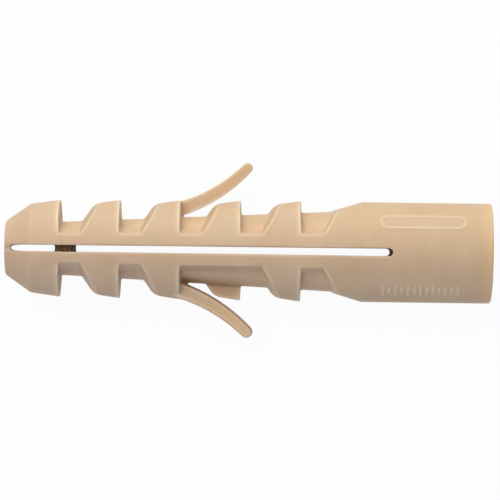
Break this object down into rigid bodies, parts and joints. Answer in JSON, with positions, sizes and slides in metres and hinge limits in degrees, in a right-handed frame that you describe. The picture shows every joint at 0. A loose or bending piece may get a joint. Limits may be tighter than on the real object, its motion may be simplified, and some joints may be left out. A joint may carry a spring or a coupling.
{
  "type": "nylon expansion wall plug",
  "caption": "Slotted nylon wall plug with toothed sides, two curved anti-turn wings, a blunt nose and a plain round neck around the screw bore.",
  "frame": {"origin": "middle of the head's face, at the mouth of the screw bore", "axes": "+X along the screw bore, out of its mouth, so the nose is at -X; the slot opens towards +Z and -Z, and the wings stand out towards +Y and -Y"},
  "size_m": [0.05, 0.0181, 0.0103],
  "materials": {
    "beige_nylon": "satin moulded nylon, beige"
  },
  "bodies": {
    "root": {"wall_plug": "beige_nylon"}
  },
  "joints": []
}
